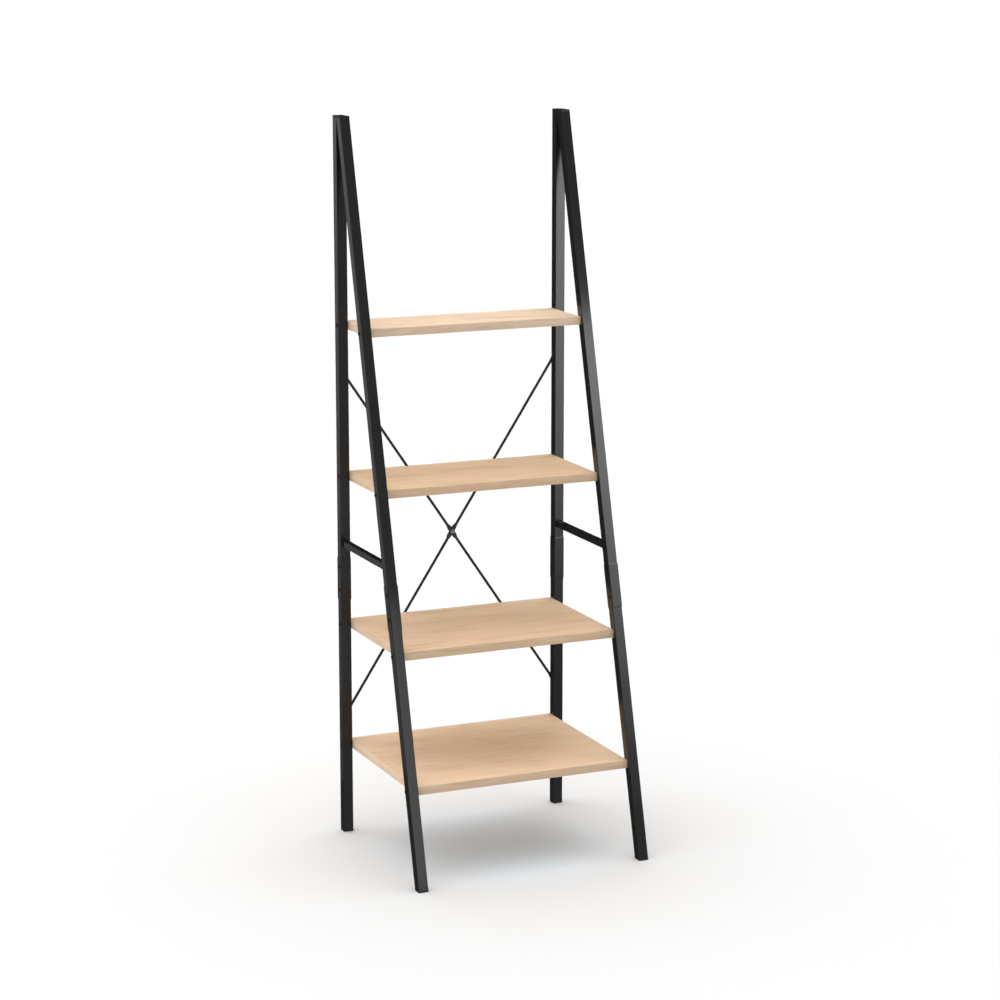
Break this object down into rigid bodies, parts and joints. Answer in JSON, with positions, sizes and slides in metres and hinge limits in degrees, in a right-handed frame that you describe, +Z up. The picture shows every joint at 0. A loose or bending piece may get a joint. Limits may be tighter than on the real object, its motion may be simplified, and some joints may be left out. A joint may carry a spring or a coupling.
{
  "type": "ladder shelf",
  "caption": "Tall open ladder shelf with A-shaped square-tube side frames, stepped wooden boards that get deeper towards the floor, and a crossed rod brace at the back.",
  "frame": {"origin": "on the floor under the middle of the bounding box", "axes": "+X along the boards to the right as seen from the front, -Y to the front where the legs lean out, +Z up"},
  "size_m": [0.624, 0.548, 1.83],
  "materials": {
    "frame_paint": "satin charcoal powder coat with a fine orange-peel texture",
    "brace_paint": "satin black powder coat",
    "board_wood": "light oak, clear matt lacquer, grain along the board",
    "cap_plastic": "moulded black plastic, fine matt texture",
    "black_bolts": "black oxide, slightly glossy",
    "grey_bolt": "dull grey zinc",
    "zinc_steel": "bright zinc plating"
  },
  "bodies": {
    "root": {"left_upper_upright": "frame_paint", "left_lower_upright": "frame_paint", "left_upper_leg": "frame_paint", "left_lower_leg": "frame_paint", "left_rung": "frame_paint", "left_upright_sleeve": "frame_paint", "left_leg_sleeve": "frame_paint", "left_upright_foot": "cap_plastic", "left_leg_foot": "cap_plastic", "left_top_cap": "cap_plastic", "left_shelf_bolts": "black_bolts", "left_shelf_inserts": "zinc_steel", "left_sleeve_bolts": "black_bolts", "left_sleeve_cap_nuts": "black_bolts", "right_upper_upright": "frame_paint", "right_lower_upright": "frame_paint", "right_upper_leg": "frame_paint", "right_lower_leg": "frame_paint", "right_rung": "frame_paint", "right_upright_sleeve": "frame_paint", "right_leg_sleeve": "frame_paint", "right_upright_foot": "cap_plastic", "right_leg_foot": "cap_plastic", "right_top_cap": "cap_plastic", "right_shelf_bolts": "black_bolts", "right_shelf_inserts": "zinc_steel", "right_sleeve_bolts": "black_bolts", "right_sleeve_cap_nuts": "black_bolts", "top_shelf": "board_wood", "upper_middle_shelf": "board_wood", "lower_middle_shelf": "board_wood", "bottom_shelf": "board_wood", "brace_rod_front": "brace_paint", "brace_rod_rear": "brace_paint", "brace_centre_bolt": "grey_bolt", "brace_centre_nut": "zinc_steel", "brace_end_bolts": "black_bolts", "brace_rivet_nuts": "zinc_steel"}
  },
  "joints": []
}
